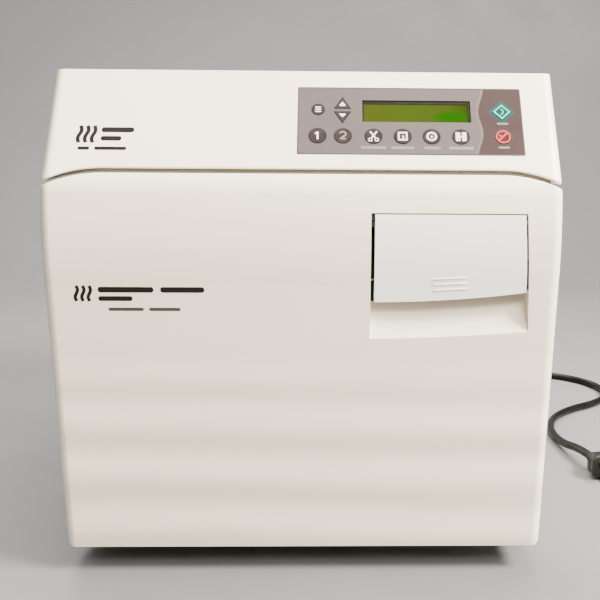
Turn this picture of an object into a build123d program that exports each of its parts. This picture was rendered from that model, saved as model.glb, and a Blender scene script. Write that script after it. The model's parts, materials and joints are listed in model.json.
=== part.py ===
from build123d import *
import math
import os

# Benchtop steam autoclave, in millimetres. X runs to the right of somebody who stands at the
# door, the door faces -Y, Z is up. The origin is under the middle of the case, on the bench.

# ---- driving dimensions ----
WIDTH = 389.0
DEPTH = 528.0
HEIGHT = 404.0
HALF_W = WIDTH / 2
FRONT_Y = -DEPTH / 2
REAR_Y = DEPTH / 2
FOOT_H = 22.0

# front form, seen from the side: heights, and how far each point lies behind the foremost line
DOOR_FOOT_SET = 30.1
BELLY_Z = 243.0
BELLY_SET = 2.7
CHIN_Z = 281.0
CREASE_Z = 318.0
CREASE_SET = 4.4
CREASE_R = 30.0
BROW_SET = 60.0
EDGE_R = 8.0
SKIN = 3.0
FRAME_Y = -183.5
SHEET = 1.5
DOOR_GAP = 2.5
DOOR_BACK_Y = FRAME_Y - DOOR_GAP

# arched seam between the door and the console
SEAM_GAP = 3.3
SEAM_Z = 327.5
SEAM_DROP = 10.4
SEAM_RUN = 46.0
SEAM_EDGE_R = 1.0
LIP_Z = 305.0
LIP_SWING_R = 60.5
LIP_SWING_Z = 318.0

# chamber, 229 mm across and 381 mm deep
CHAMBER_X = -20.0
CHAMBER_Z = 172.0
CHAMBER_R = 114.5
CHAMBER_DEPTH = 381.0
CHAMBER_WALL = 3.0
MOUTH_Y = FRAME_Y - 4.5
BACK_Y = MOUTH_Y + CHAMBER_DEPTH
GASKET_GAP = 0.3

# door hinge, at the rear left corner of the door
HINGE_X = -184.0
HINGE_Y = DOOR_BACK_Y - 10.5
HINGE_PIN_R = 3.0
HINGE_CLEAR = 0.05
HINGE_Z0 = 150.0
HINGE_Z1 = 224.0
LUG_H = 12.0

# handle flap and the pocket that it hangs in
FLAP_X0 = 53.6
FLAP_X1 = 165.9
FLAP_TOP = 296.9
FLAP_LEFT_Z = 230.4
FLAP_RISE = 7.8
FLAP_T = 3.0
POCKET_X0 = 50.6
POCKET_X1 = 167.5
POCKET_TOP = 297.1
POCKET_WALL = 2.5
MOUTH_LOW = (180.4, 190.4)
FLOOR_LOW = (241.5, 244.5)
FLOOR_SET = 27.0
EDGE_SAG = 1.4
RIGHT_LEAN = 0.052
ROD_R = 2.0
ROD_Z = 293.0
ROD_Y = FRONT_Y + 6.0
FLAP_SWEEP_R = 6.55
CRANK_L = 24.0
CRANK_X = 173.5
LATCH_Z = (138.0, 300.0)
HOOK_Z = (140.0, 262.0)

# console face, measured down the slope from its top edge
FACE_SLOPE = math.degrees(math.atan((BROW_SET - CREASE_SET) / (HEIGHT - CREASE_Z)))
FACE = Plane(
    origin=(0, FRONT_Y + BROW_SET, HEIGHT),
    x_dir=(1, 0, 0),
    z_dir=(0, -math.cos(math.radians(FACE_SLOPE)), math.sin(math.radians(FACE_SLOPE))),
)
OVERLAY_X = (-5.0, 167.5)
OVERLAY_S = (15.1, 75.8)
OVERLAY_T = 1.5
WINDOW_X = (44.4, 127.9)
WINDOW_S = (26.9, 46.7)
KEY_R = 6.3
FACE_OUT = 0.3
KEY_PROUD = 0.4
KEY_GAP = 0.35
ROUND_KEYS = {
    "key_program": (10.6, 35.8, 4.6),
    "key_1": (10.3, 59.5, KEY_R),
    "key_2": (29.5, 59.5, KEY_R),
    "key_cycle_1": (52.7, 59.7, KEY_R),
    "key_cycle_2": (74.9, 59.7, KEY_R),
    "key_cycle_3": (96.9, 59.7, KEY_R),
    "key_cycle_4": (119.3, 59.7, KEY_R),
    "key_stop": (151.6, 59.5, 6.1),
}
UP_KEY = (29.3, 29.6)
DOWN_KEY = (29.3, 42.6)
START_KEY = (151.9, 36.8)

# trays and rack
TRAY_HALF = 80.0
TRAY_Y = (-150.0, 160.0)
TRAY_LEVELS = {"tray_lower": 128.0, "tray_upper": 188.0}

# filling lid, rear fittings, feet and screws
LID_X = -110.0
LID_Y = -60.0
LID_HINGE = 38.0
LID_Z = HEIGHT - 2.0
RELIEF_X = -60.0
RELIEF_Z = 250.0
BREAKER_X = 120.0
BREAKER_Z = 60.0
FRONT_FEET = ((-160, -150), (160, -150))
REAR_FEET = ((-160, 215), (160, 215))
SCREW_R = 1.6
SCREW_HEAD_R = 3.4

# mains cord: out of the rear panel, round its coil, then along the bench to the plug
CORD_R = 4.5
COIL_C = (115.0, 362.0)
COIL_R = (36.3, 63.7)
COIL_TOP = 18.0
PLUG_AT = (306.0, 2.0, 14.0)
PLUG = Plane(origin=PLUG_AT, x_dir=(0.984, 0.176, 0), z_dir=(0.176, -0.984, 0))
CORD_EXIT = (60.0, 284.0, 50.0)
LEAD_IN = [
    CORD_EXIT,
    (60.0, 310.0, 49.0),
    (58.0, 336.0, 38.0),
    (54.0, 360.0, 20.0),
]
LEAD_OUT = [
    (128.0, 422.5, 13.5),
    (178.0, 425.0, 6.5),
    (236.0, 420.0, 4.5),
    (296.0, 408.0, 4.5),
    (350.0, 396.0, 4.5),
    (392.0, 366.0, 4.5),
    (412.0, 322.0, 4.5),
    (408.0, 276.0, 4.5),
    (378.0, 240.0, 4.5),
    (336.0, 212.0, 4.5),
    (304.0, 172.0, 4.5),
    (290.0, 122.0, 4.5),
    (292.0, 72.0, 6.0),
    (301.0, 30.0, 14.0),
    PLUG_AT,
]


def save(shape, name):
    """Write one node's STEP file."""
    export_step(shape, f"parts/{name}.step")


def box(x, y, z):
    """Box between the two limits given for each axis."""
    size = (x[1] - x[0], y[1] - y[0], z[1] - z[0])
    middle = ((x[0] + x[1]) / 2, (y[0] + y[1]) / 2, (z[0] + z[1]) / 2)
    return Pos(*middle) * Box(*size)


def rod_y(x, z, r, y0, y1):
    """Cylinder along Y."""
    return Pos(x, (y0 + y1) / 2, z) * Rot(90, 0, 0) * Cylinder(r, y1 - y0)


def rod_x(y, z, r, x0, x1):
    """Cylinder along X."""
    return Pos((x0 + x1) / 2, y, z) * Rot(0, 90, 0) * Cylinder(r, x1 - x0)


def rod_z(x, y, r, z0, z1):
    """Cylinder along Z."""
    return Pos(x, y, (z0 + z1) / 2) * Cylinder(r, z1 - z0)


def ring_y(x, z, r_out, r_in, y0, y1):
    """Ring whose axis runs along Y."""
    return rod_y(x, z, r_out, y0, y1) - rod_y(x, z, r_in, y0 - 1, y1 + 1)


def front_form(inset, back):
    """Prism over the side profile of the door and console, each side rounded."""
    y = FRONT_Y + inset
    foot = (0, y + DOOR_FOOT_SET, FOOT_H)
    belly = (0, y + BELLY_SET, BELLY_Z)
    crease = (0, y + CREASE_SET, CREASE_Z)
    brow = (0, y + BROW_SET, HEIGHT)
    edge = [
        Line(foot, belly),
        ThreePointArc(belly, (0, y, CHIN_Z), crease),
        Line(crease, brow),
        Polyline([brow, (0, back, HEIGHT), (0, back, FOOT_H), foot]),
    ]
    half = HALF_W - inset
    form = Pos(-half, 0, 0) * extrude(make_face(edge), 2 * half, dir=(1, 0, 0))
    form = fillet([e for e in form.edges() if abs(e.center().Z - CREASE_Z) < 0.1], CREASE_R)
    rounded = [
        e
        for e in form.edges()
        if abs(abs(e.center().X) - half) < 0.1 and e.center().Y < FRONT_Y + BROW_SET - 10
        and e.center().Z > FOOT_H + 1
    ]
    return fillet(rounded, max(EDGE_R - inset, 1.0))


def droop(x):
    """How far the arched seam has dropped at x."""
    r = (SEAM_RUN**2 + SEAM_DROP**2) / (2 * SEAM_DROP)
    past = max(abs(x) - (HALF_W - SEAM_RUN), 0.0)
    return r - math.sqrt(r**2 - past**2)


def arch(top, half):
    """Wire of the arched seam: flat in the middle, drooping towards both sides."""
    flat = HALF_W - SEAM_RUN
    mid = (half - flat) / 2
    mid_drop = droop(flat + mid)
    left_end = (-half, 0, top - droop(half))
    right_end = (half, 0, top - droop(half))
    return [
        ThreePointArc(left_end, (-flat - mid, 0, top - mid_drop), (-flat, 0, top)),
        Line((-flat, 0, top), (flat, 0, top)),
        ThreePointArc((flat, 0, top), (flat + mid, 0, top - mid_drop), right_end),
    ], left_end, right_end


def below_arch(top, half, floor):
    """Everything below the arched seam, as a slab along Y."""
    edges, left_end, right_end = arch(top, half)
    legs = Polyline([right_end, (half, 0, floor), (-half, 0, floor), left_end])
    slab = extrude(make_face([*edges, legs]), 200, dir=(0, 1, 0))
    return Pos(0, FRONT_Y - 10, 0) * slab


def seam_edges(solid, top):
    """The solid's edges that lie on the arched seam."""
    return [e for e in solid.edges() if abs((e @ 0.5).Z - top + droop((e @ 0.5).X)) < 0.05]


def pocket(grow):
    """The scooped space behind the handle flap: a ruled loft from the door face inwards."""
    mouth_y, floor_y = FRONT_Y - 2 - grow * 0.1, FRONT_Y + FLOOR_SET + grow
    x0, x1 = POCKET_X0 - grow, POCKET_X1 + grow
    top = POCKET_TOP + grow
    faces = []
    for y, low in ((mouth_y, MOUTH_LOW), (floor_y, FLOOR_LOW)):
        left, right = low[0] - grow, low[1] - grow
        low_x1 = x1 + RIGHT_LEAN * (top - right)
        corners = [(x0, y, left), (x0, y, top), (x1, y, top), (low_x1, y, right)]
        sag = ((x0 + x1) / 2, y, (left + right) / 2 - EDGE_SAG)
        faces.append(make_face([Polyline(corners), ThreePointArc(corners[-1], sag, corners[0])]))
    return loft(faces, ruled=True)


def hinge_notch():
    """Cut-out in the door's left edge that the hinge lugs swing through."""
    return box((-HALF_W - 1, HINGE_X + 22), (HINGE_Y - 9, -180), (HINGE_Z0 - 2, HINGE_Z1 + 2))


# ---- door ----
front = front_form(0.0, FRAME_Y)
front_inside = front_form(SKIN, FRAME_Y)


def door_blank():
    """The door's outer form, solid, with its edge along the seam rounded."""
    top = SEAM_Z - SEAM_GAP / 2
    slab = below_arch(top, HALF_W + 1, FOOT_H)
    slab = fillet(slab.edges().filter_by(Axis.Y).sort_by(Axis.Z)[:2], EDGE_R)
    block = box((-HALF_W, HALF_W), (FRONT_Y, DOOR_BACK_Y), (FOOT_H, HEIGHT))
    rear_left = block.edges().filter_by(Axis.Z).sort_by(Axis.Y)[-2:].sort_by(Axis.X)[0]
    blank = front & slab & fillet(rear_left, DOOR_BACK_Y - HINGE_Y)
    rim = [e for e in seam_edges(blank, top) if (e @ 0.5).Y < DOOR_BACK_Y - 1]
    return fillet(rim, SEAM_EDGE_R)


def door_cover():
    """Moulded door front, hollow, with a lip up to the arched seam."""
    hood_x = (POCKET_X0 - POCKET_WALL, POCKET_X1 + POCKET_WALL)
    hood = rod_x(ROD_Y, ROD_Z, FLAP_SWEEP_R + 2.6, *hood_x)
    cavity = front_inside & box(
        (-HALF_W + SKIN, HALF_W - SKIN), (FRONT_Y, -100), (FOOT_H + SKIN, LIP_Z - SKIN)
    )
    cavity = cavity - pocket(POCKET_WALL) - hood
    above_lip = box((-200, 200), (FRONT_Y, -100), (LIP_Z, HEIGHT))
    lip_back = front_form(SKIN + 0.5, FRAME_Y) & above_lip
    swing = rod_z(HINGE_X, HINGE_Y, LIP_SWING_R, LIP_SWING_Z, HEIGHT)
    shell = door_blank() - pocket(0.0) - cavity - lip_back - swing
    shell = shell - rod_x(ROD_Y, ROD_Z, FLAP_SWEEP_R + 0.35, POCKET_X0, POCKET_X1)
    rod_hole = rod_x(ROD_Y, ROD_Z, ROD_R + 0.06, POCKET_X0 - 6, POCKET_X1 + 6)
    return shell - rod_hole - hinge_notch()


def flap_outline(x0, x1, lift):
    """Front outline of the flap, its lower edge rising towards the right, as a slab."""
    left, right = FLAP_LEFT_Z + lift, FLAP_LEFT_Z + FLAP_RISE + lift
    low_x1 = x1 + RIGHT_LEAN * (FLAP_TOP - right)
    sag = ((x0 + x1) / 2, 0, left + FLAP_RISE / 4)
    edges = [
        Polyline([(x0, 0, left), (x0, 0, FLAP_TOP), (x1, 0, FLAP_TOP), (low_x1, 0, right)]),
        ThreePointArc((low_x1, 0, right), sag, (x0, 0, left)),
    ]
    return Pos(0, FRONT_Y - 5, 0) * extrude(make_face(edges), 60, dir=(0, 1, 0))


def handle_flap():
    outline = flap_outline(FLAP_X0, FLAP_X1, 0.0)
    plate = (front & outline) - front_form(FLAP_T, FRAME_Y)
    sweep_round = rod_x(ROD_Y, ROD_Z, FLAP_SWEEP_R, FLAP_X0, FLAP_X1 + 1)
    plate = plate & (sweep_round + box((0, 200), (-270, -230), (220, ROD_Z)))
    knuckle = rod_x(ROD_Y, ROD_Z, ROD_R + 1.6, FLAP_X0, FLAP_X1)
    knuckle = knuckle + box((FLAP_X0, FLAP_X1), (FRONT_Y + 2, ROD_Y), (ROD_Z - 3.5, ROD_Z + 2.4))
    behind = front_form(FLAP_T, FRAME_Y) - front_form(FLAP_T + 7, FRAME_Y)
    plate = plate + (behind & (outline - flap_outline(FLAP_X0, FLAP_X1, 2.5)))
    for shift in (-2.5, 2.5):
        cheek = behind & (outline - Pos(shift, 0, 0) * outline)
        plate = plate + (cheek & box((0, 200), (-270, -230), (220, ROD_Z - 5)))
    flap = plate + knuckle
    return flap - rod_x(ROD_Y, ROD_Z, ROD_R, FLAP_X0 - 5, FLAP_X1 + 5)


def handle_rod():
    """Steel rod that the flap turns on, with the crank that works the latch bar."""
    rod = rod_x(ROD_Y, ROD_Z, ROD_R, POCKET_X0 - 3.5, CRANK_X + 3.8)
    arm_x = (CRANK_X, CRANK_X + 3.5)
    arm = box(arm_x, (ROD_Y, ROD_Y + CRANK_L + 3), (ROD_Z - 3.5, ROD_Z + 2.0))
    tip = rod_x(ROD_Y + CRANK_L, ROD_Z, ROD_R, CRANK_X, CRANK_X + 9.3)
    return rod + arm + tip


def latch_bar():
    """Flat bar behind the door's right edge, with two hooks that reach back to the keepers."""
    bar_x = (CRANK_X + 4.4, CRANK_X + 8.4)
    y_mid = ROD_Y + CRANK_L
    bar = box(bar_x, (y_mid - 8.5, y_mid + 9), LATCH_Z)
    slot = box(
        (bar_x[0] - 1, bar_x[1] + 1),
        (y_mid - ROD_R - 4.9, y_mid + ROD_R + 0.6),
        (ROD_Z - ROD_R - 0.6, ROD_Z + ROD_R + 0.6),
    )
    bar = bar - slot
    for z in HOOK_Z:
        neck = box(bar_x, (y_mid + 9, -196), (z, z + 12))
        hook = box(bar_x, (-204, -196), (z - 10, z))
        bar = bar + neck + hook
    return bar


def door_arm():
    """Steel strap across the door: its barrel turns on the hinge pin."""
    barrel_z = (HINGE_Z0 + LUG_H + 0.3, HINGE_Z1 - LUG_H - 0.3)
    strap = box((HINGE_X, 150), (-210.5, -203.5), (CHAMBER_Z - 24, CHAMBER_Z + 24))
    strap = strap - box((HINGE_X - 1, HINGE_X + 10), (-211, -203), (140, barrel_z[0]))
    strap = strap - box((HINGE_X - 1, HINGE_X + 10), (-211, -203), (barrel_z[1], 230))
    web = box((HINGE_X - 2, HINGE_X + 6), (-210.5, HINGE_Y), barrel_z)
    barrel = rod_z(HINGE_X, HINGE_Y, 5.6, *barrel_z)
    bore = rod_z(HINGE_X, HINGE_Y, HINGE_PIN_R + HINGE_CLEAR, 100, 250)
    stud_hole = rod_y(CHAMBER_X, CHAMBER_Z, 8.0, -220, -190)
    return strap + web + barrel - bore - stud_hole


def pressure_plate():
    """Dished round plate that closes the chamber, with its centre stud."""
    disc = rod_y(CHAMBER_X, CHAMBER_Z, 129, -199.5, -192.5)
    groove = ring_y(CHAMBER_X, CHAMBER_Z, 126, 114, -193.5, -190)
    dish = Pos(CHAMBER_X, -192.5, CHAMBER_Z) * Rot(90, 0, 0) * Cone(100, 108, 4)
    stud = rod_y(CHAMBER_X, CHAMBER_Z, 7.9, -222, -199.5)
    hub = rod_y(CHAMBER_X, CHAMBER_Z, 24, -203.5, -199.5)
    return disc - groove - dish + stud + hub


def door_inner_panel():
    """Sheet that closes the back of the door, with openings for the plate, hinge and hooks."""
    edge = SKIN + 0.2
    sheet = box((HINGE_X + 12, HALF_W - edge), (-189.5, -188), (FOOT_H + edge, LIP_Z - edge))
    sheet = sheet - rod_y(CHAMBER_X, CHAMBER_Z, 131, -195, -180)
    sheet = sheet - box((-200, HINGE_X + 24), (-195, -180), (HINGE_Z0 - 3, HINGE_Z1 + 3))
    for z in HOOK_Z:
        sheet = sheet - box((164, 188.5), (-195, -180), (z - 28, z + 16))
    return sheet


def door_screws():
    """Nut on the plate's stud and the screws that hold the inner panel's lugs."""
    nut = extrude(
        Plane(origin=(CHAMBER_X, -210.5, CHAMBER_Z), z_dir=(0, -1, 0)) * RegularPolygon(13, 6), 8
    )
    nut = nut - rod_y(CHAMBER_X, CHAMBER_Z, 7.9, -225, -200)
    heads = [nut]
    for x, z in ((-160, 34), (0, 34), (178, 34), (-160, 296), (120, 296)):
        heads.append(rod_y(x, z, 3.2, -188, -186.8))
    return Compound(children=heads)


# ---- frame, case and console ----
def front_frame():
    frame = box((-HALF_W, HALF_W), (FRAME_Y, FRAME_Y + 3), (FOOT_H, HEIGHT))
    frame = fillet(frame.edges().filter_by(Axis.Y).sort_by(Axis.Z)[:2], 6.0)
    frame = frame - rod_y(CHAMBER_X, CHAMBER_Z, 130.5, -190, -170)
    frame = frame - box((-170, 170), (-190, -170), (336, 392))
    return frame - rod_y(160, 60, 3.1, -190, -170)


def wrap_cover():
    """One sheet folded over the top and down both sides."""
    y0, y1 = FRAME_Y + 3, 252.0
    outer = box((-HALF_W, HALF_W), (y0, y1), (FOOT_H + 2.5, HEIGHT))
    outer = fillet(outer.edges().filter_by(Axis.Y).sort_by(Axis.Z)[-2:], 6.0)
    inner = box((-HALF_W + SHEET, HALF_W - SHEET), (y0 - 1, y1 + 1), (0, HEIGHT - SHEET))
    inner = fillet(inner.edges().filter_by(Axis.Y).sort_by(Axis.Z)[-2:], 4.5)
    cover = outer - inner
    lid_hole = box((LID_X - 40.5, LID_X + 40.5), (LID_Y - 40.5, LID_Y + 43.5), (395, 410))
    for row in range(3):
        for i in range(9):
            y = 60 + i * 18
            for side in (-1, 1):
                slot = box((-4, 4), (y, y + 6), (80 + row * 62, 80 + row * 62 + 44))
                cover = cover - Pos(side * (HALF_W - 1), 0, 0) * slot
    cover = cover - lid_hole
    for side in (-1, 1):
        ear = box((-1.5, 1.5), (LID_Y + 34, LID_Y + 43), (395, HEIGHT - SHEET))
        cover = cover + Pos(LID_X + side * 42, 0, 0) * ear
    return cover - rod_x(LID_Y + LID_HINGE, LID_Z, 1.26, LID_X - 50, LID_X + 50) - screw_group(0)


def fill_lid():
    """Flush lid over the reservoir's filling hole, hinged at its rear edge."""
    plate = box((LID_X - 39.7, LID_X + 39.7), (LID_Y - 39.7, LID_Y + LID_HINGE), (HEIGHT - 2.5, HEIGHT))
    scoop = Pos(LID_X, LID_Y - 36, HEIGHT) * Sphere(9)
    barrel = rod_x(LID_Y + LID_HINGE, LID_Z, 2.0, LID_X - 39.7, LID_X + 39.7)
    pins = rod_x(LID_Y + LID_HINGE, LID_Z, 1.2, LID_X - 43.2, LID_X + 43.2)
    return plate - (scoop & box((-200, 200), (-200, 0), (HEIGHT - 1.4, HEIGHT + 5))) + barrel + pins


def rear_panel():
    panel = box((-HALF_W + 1.7, HALF_W - 1.7), (250, 251.5), (FOOT_H + 4, HEIGHT - 1.7))
    panel = fillet(panel.edges().filter_by(Axis.Y).sort_by(Axis.Z)[-2:], 4.0)
    for i in range(8):
        for side in (-1, 1):
            x = side * 95
            panel = panel - box((x - 40, x + 40), (249, 253), (300 + i * 10, 304 + i * 10))
    holes = (
        (RELIEF_X, RELIEF_Z, 8.1),
        (CORD_EXIT[0], CORD_EXIT[2], 7.0),
        (BREAKER_X, BREAKER_Z, 5.1),
    )
    for x, z, r in holes:
        panel = panel - rod_y(x, z, r, 240, 260)
    return panel - screw_group(0)


def base_pan():
    outer = box((-HALF_W + 1.6, HALF_W - 1.6), (FRAME_Y + 3.1, 249.9), (FOOT_H, FOOT_H + 18))
    inner = box((-HALF_W + 3.2, HALF_W - 3.2), (FRAME_Y + 4.7, 248.3), (FOOT_H + 1.6, 80))
    pan = outer - inner
    for x, y in FRONT_FEET:
        pan = pan + rod_z(x, y, 9, FOOT_H + 1.6, FOOT_H + 12) - rod_z(x, y, 4.05, 0, 80)
    for x, y in REAR_FEET:
        pan = pan - rod_z(x, y, 3.0, 0, 60)
    for i in range(7):
        pan = pan - box((-60, 60), (-90 + i * 30, -80 + i * 30), (0, 40))
    return pan - screw_group(0)


def front_foot(x, y):
    """Levelling foot: rubber-soled pad on a threaded stud that turns in the pan's boss."""
    pad = rod_z(x, y, 15, 0, 9)
    pad = chamfer(pad.edges().sort_by(Axis.Z)[0], 1.5)
    return pad + rod_z(x, y, 4.0, 9, 42)


def rear_feet():
    feet = []
    for x, y in REAR_FEET:
        foot = Pos(x, y, FOOT_H / 2) * Cone(12, 15, FOOT_H)
        feet.append(foot + rod_z(x, y, 3.0, FOOT_H, FOOT_H + 5))
    return Compound(children=feet)


def screw_group(clear):
    """Pan-head screws through the cover and the rear panel into the pan and the frame."""
    screws = []
    for side in (-1, 1):
        for y in (-150, 45, 235):
            x = side * HALF_W
            shank = rod_x(y, 34, SCREW_R + clear, *sorted((x, x - side * 6)))
            head = rod_x(y, 34, SCREW_HEAD_R, *sorted((x, x - side * 0.9)))
            screws.append(shank + head)
    for x in (-160, 0, 160):
        for z in (36, 390):
            shank = rod_y(x, z, SCREW_R + clear, 247, 251.5)
            screws.append(shank + rod_y(x, z, SCREW_HEAD_R, 251.5, 253.3))
    return Compound(children=screws)


def console_shell():
    """Sloping console moulding over the door: hollow, open at the back."""
    floor_z = SEAM_Z + SEAM_GAP / 2
    outer = front - below_arch(floor_z, HALF_W + 1, -10)
    outer = outer & box((-200, 200), (-300, FRAME_Y), (300, HEIGHT))
    flank = HALF_W - 1
    rim = [e for e in seam_edges(outer, floor_z) if (e @ 0.5).Y < -225 or abs((e @ 0.5).X) > flank]
    outer = fillet(rim, SEAM_EDGE_R)
    inside = front_form(SKIN, FRAME_Y) - below_arch(floor_z + SKIN, HALF_W + 1, -10)
    inside = inside & box((-200, 200), (-300, FRAME_Y), (300, HEIGHT - SKIN))
    window = on_face((OVERLAY_X[0] + 5, OVERLAY_X[1] - 5), (OVERLAY_S[0] + 4, OVERLAY_S[1] - 4), -9, 3)
    bed = on_face(OVERLAY_X, OVERLAY_S, -OVERLAY_T + 0.3, 3)
    return outer - inside - window - bed


def on_face(x, s, w0, w1):
    """Box on the console face: across, down the slope, and out of the face."""
    return FACE * box(x, (-s[1], -s[0]), (w0, w1))


def pill(x, s, r, w0, w1):
    """Disc on the console face."""
    return FACE * Pos(x, -s, (w0 + w1) / 2) * Cylinder(r, w1 - w0)


def prism_key(points, w0, w1):
    """Key with straight sides on the console face."""
    face = make_face(Polyline([(x, -s, w0) for x, s in points], close=True))
    return FACE * extrude(face, w1 - w0, dir=(0, 0, 1))


def key_shapes(grow, w0, w1):
    """Every key's solid by name, each side moved out by grow."""
    keys = {n: pill(x, s, r + grow, w0, w1) for n, (x, s, r) in ROUND_KEYS.items()}
    wide, tall = 6.2 + 1.6 * grow, 5.0 + grow
    x, s = UP_KEY
    keys["key_up"] = prism_key([(x - wide, s + tall), (x + wide, s + tall), (x, s - tall - grow)], w0, w1)
    x, s = DOWN_KEY
    keys["key_down"] = prism_key([(x - wide, s - tall), (x + wide, s - tall), (x, s + tall + grow)], w0, w1)
    x, s = START_KEY
    a = 7.4 + 1.42 * grow
    keys["key_start"] = prism_key([(x - a, s), (x, s + a), (x + a, s), (x, s - a)], w0, w1)
    return keys


def keypad_overlay():
    """Membrane panel with holes for the keys and the display."""
    plate = on_face(OVERLAY_X, OVERLAY_S, -OVERLAY_T + FACE_OUT, FACE_OUT)
    normal = [e for e in plate.edges() if abs(e.length - OVERLAY_T) < 0.01]
    plate = fillet(normal, 1.5)
    for hole in key_shapes(KEY_GAP, -6, 6).values():
        plate = plate - hole
    return plate - on_face(WINDOW_X, WINDOW_S, -6, 6)


def key_switches():
    """Snap domes under the keys, on the board."""
    spots = [(x, s) for x, s, r in ROUND_KEYS.values()] + [UP_KEY, DOWN_KEY, START_KEY]
    return Compound(children=[pill(x, s, 2.6, -6.0, -3.2) for x, s in spots])


def tube(points, r, radii=None):
    """Round rod along straight runs joined by tangent arcs."""
    path = FilletPolyline(points, radius=radii or 3.2 * r)
    first = Vector(*points[1]) - Vector(*points[0])
    return sweep(Plane(origin=points[0], z_dir=first) * Circle(r), path=path)


# ---- chamber ----
def chamber_vessel():
    shell = rod_y(CHAMBER_X, CHAMBER_Z, CHAMBER_R + CHAMBER_WALL, MOUTH_Y, BACK_Y + 4)
    flange = rod_y(CHAMBER_X, CHAMBER_Z, 129, MOUTH_Y, MOUTH_Y + 9)
    return shell + flange - rod_y(CHAMBER_X, CHAMBER_Z, CHAMBER_R, MOUTH_Y - 1, BACK_Y)


def chamber_insulation():
    lag = ring_y(CHAMBER_X, CHAMBER_Z, 138, 121, -165, BACK_Y)
    return lag - box((-40, 0), (100, 130), (280, 320))


def chamber_cradle():
    """Two saddles that carry the lagged vessel on the pan."""
    saddles = []
    for y in (-120, 130):
        plate = box((-110, 70), (y, y + 4), (FOOT_H + 1.6, 92))
        saddles.append(plate - rod_y(CHAMBER_X, CHAMBER_Z, 138, y - 5, y + 10))
    return Compound(children=saddles)


def tray_rack():
    """Two folded side sheets with runners, joined by a floor strip at each end."""
    rack = None
    for side in (-1, 1):
        x = CHAMBER_X + side * 86
        wall = box((x - 0.8, x + 0.8), (-165, 175), (104, 240))
        for window_y in ((-130, -10), (20, 140)):
            wall = wall - box((x - 3, x + 3), window_y, (140, 176))
        rack = wall if rack is None else rack + wall
        for z in TRAY_LEVELS.values():
            shelf = box(sorted((x, x - side * 12)), (-165, 175), (z - 2.0, z - 0.5))
            rack = rack + shelf
    for y in (-165, 155):
        rack = rack + box((CHAMBER_X - 86.8, CHAMBER_X + 86.8), (y, y + 20), (104, 105.6))
    return rack


def tray(z):
    """Perforated tray with a turned-up rim."""
    x = (CHAMBER_X - TRAY_HALF, CHAMBER_X + TRAY_HALF)
    pan = box(x, TRAY_Y, (z, z + 14)) - box(
        (x[0] + 1, x[1] - 1), (TRAY_Y[0] + 1, TRAY_Y[1] - 1), (z + 1, z + 20)
    )
    for row in range(4):
        for column in range(5):
            cx, cy = x[0] + 20 + row * 33, TRAY_Y[0] + 25 + column * 56
            pan = pan - box((cx, cx + 21), (cy, cy + 36), (z - 1, z + 2))
    return pan


def steam_tubes():
    """Copper lines between the chamber, the valves and the reservoir."""
    lines = [
        [(-20, 197, 80), (-20, 222, 80), (130, 222, 80), (130, 191, 80)],
        [(160, 191, 80), (160, 222, 80), (160, 222, 355), (40, 222, 355), (40, 190, 355)],
    ]
    return Compound(children=[tube(points, 3.0, 12.0) for points in lines])


def solenoid_valves():
    """Fill valve and vent valve, each a brass body with a coil on top."""
    valves = []
    for x in (130, 160):
        body = box((x - 11, x + 11), (150, 191), (68, 92))
        coil = rod_z(x, 170, 11, 92, 128)
        valves.append(body + coil)
    return Compound(children=valves)


def reservoir():
    """Water tank over the chamber, with a neck under the fill lid."""
    x, y, z = (-185, 60), (-165, 190), (318, 392)
    tank = box(x, y, z) - box((x[0] + 3, x[1] - 3), (y[0] + 3, y[1] - 3), (z[0] + 3, z[1] - 3))
    neck = box((LID_X - 30, LID_X + 30), (LID_Y - 30, LID_Y + 28), (392, 400))
    throat = box((LID_X - 27, LID_X + 27), (LID_Y - 27, LID_Y + 25), (385, 405))
    return tank + neck - throat


def condensing_coil():
    """Serpentine in the tank that cools the vented steam."""
    points = []
    for i in range(4):
        y = 20 + i * 34
        row = [(-150, y, 335), (20, y, 335)]
        points += row if i % 2 == 0 else row[::-1]
    return tube(points, 4.0, 12.0)


def relief_valve():
    barrel = rod_y(RELIEF_X, RELIEF_Z, 8.0, 232, 257)
    hexagon = extrude(
        Plane(origin=(RELIEF_X, 232, RELIEF_Z), z_dir=(0, 1, 0)) * RegularPolygon(13, 6), 10
    )
    stem = rod_y(RELIEF_X, RELIEF_Z, 8.0, BACK_Y + 4, 232)
    return barrel + hexagon + stem - rod_y(RELIEF_X, RELIEF_Z, 2.6, 240, 260)


def relief_ring():
    """Pull ring on the valve's stem."""
    stem = rod_y(RELIEF_X, RELIEF_Z, 2.55, 246, 259)
    loop = Pos(RELIEF_X, 260.5, RELIEF_Z - 9) * Rot(90, 0, 0) * Torus(9.5, 1.5)
    rim = box((RELIEF_X - 4, RELIEF_X + 4), (258.5, REAR_Y), (RELIEF_Z - 2.5, RELIEF_Z + 2.5))
    return stem + loop + rim


# ---- mains cord ----
def bend_radii(points):
    """Each corner's radius: as large as its two runs allow."""
    radii = []
    for a, b, c in zip(points, points[1:], points[2:]):
        first, second = Vector(*b) - Vector(*a), Vector(*c) - Vector(*b)
        half = math.radians(first.get_angle(second) / 2)
        radii.append(0.45 * min(first.length, second.length) / math.tan(half))
    return radii


def cord_run(name, points):
    """Tube along one free stretch of the cord; its bends and its volume are printed."""
    radii = bend_radii(points)
    path = FilletPolyline(points, radius=radii)
    start = Vector(*points[1]) - Vector(*points[0])
    solid = sweep(Plane(origin=points[0], z_dir=start) * Circle(CORD_R), path=path)
    share = solid.volume / (path.length * math.pi * CORD_R**2)
    print(name, "radii", [round(r) for r in radii])
    print(name, "length", round(path.length), "volume over section times length", round(share, 4))
    return solid


def cord_coil():
    """Closed ring of the coil's outer shape."""
    return rod_z(*COIL_C, COIL_R[1], 0, COIL_TOP) - rod_z(*COIL_C, COIL_R[0], -1, COIL_TOP + 1)


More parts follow.
